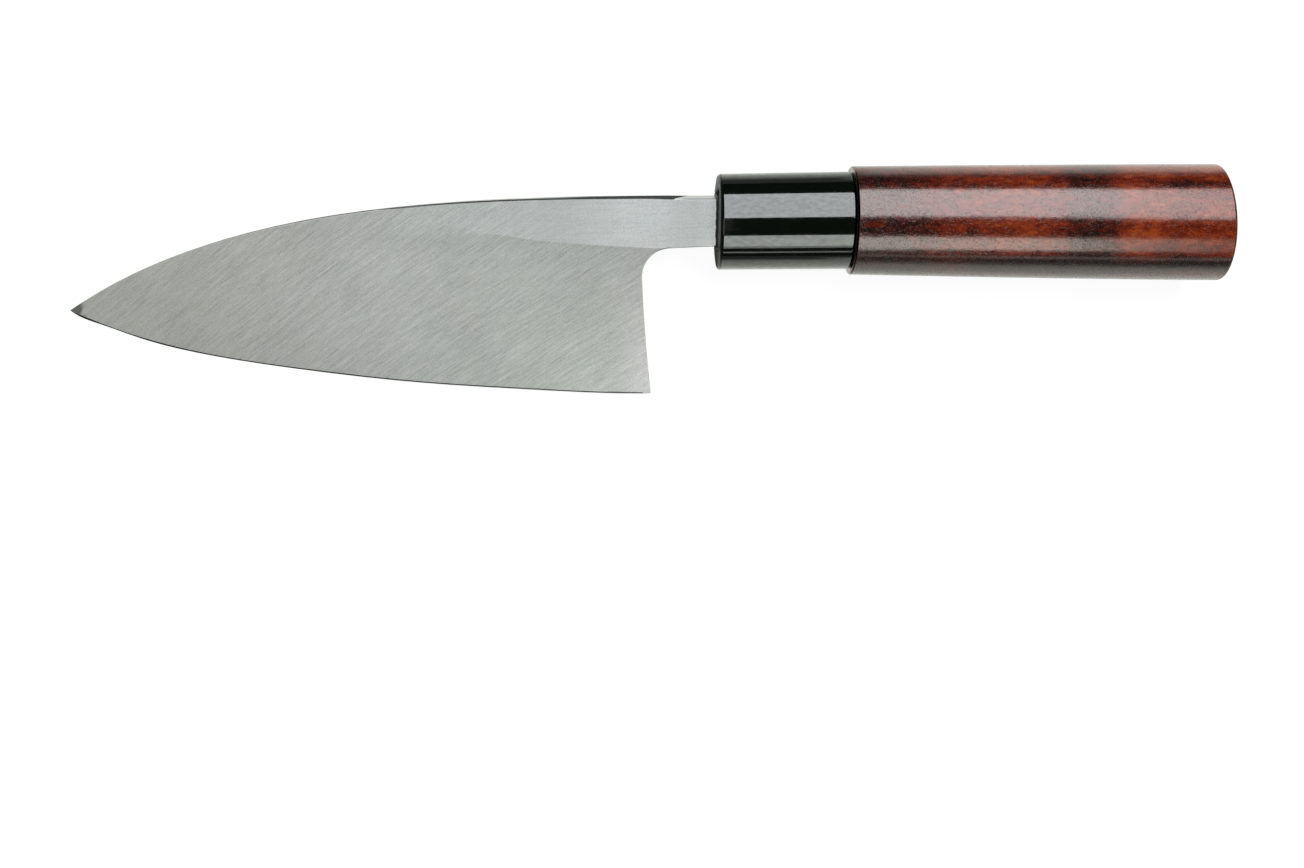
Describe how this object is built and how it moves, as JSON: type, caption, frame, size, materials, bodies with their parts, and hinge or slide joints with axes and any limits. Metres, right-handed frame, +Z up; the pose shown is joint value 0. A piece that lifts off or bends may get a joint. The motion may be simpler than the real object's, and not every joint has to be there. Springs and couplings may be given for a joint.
{
  "type": "kitchen knife",
  "caption": "Single-bevel Japanese fish knife: wide pointed blade of soft iron and hard steel, slim neck, black ferrule and oval stained wooden handle.",
  "frame": {"origin": "on the table, under the middle of the box round the knife as it lies on its bevelled side", "axes": "+X runs over the table from the blade's tip to the handle's butt, +Y from the cutting edge to the spine, and +Z is up, out of the blade's flat side"},
  "size_m": [0.2968, 0.0591, 0.0299],
  "materials": {
    "soft_iron": "brushed lengthwise, satin",
    "hard_steel": "ground with slanting lines, satin",
    "ferrule_black": "polished black",
    "stained_wood": "red-brown stain under satin lacquer",
    "seal_resin": "dark resin, uneven"
  },
  "bodies": {
    "root": {"blade_body": "soft_iron", "edge_steel": "hard_steel", "ferrule": "ferrule_black", "handle": "stained_wood", "tang_seal": "seal_resin"}
  },
  "joints": []
}
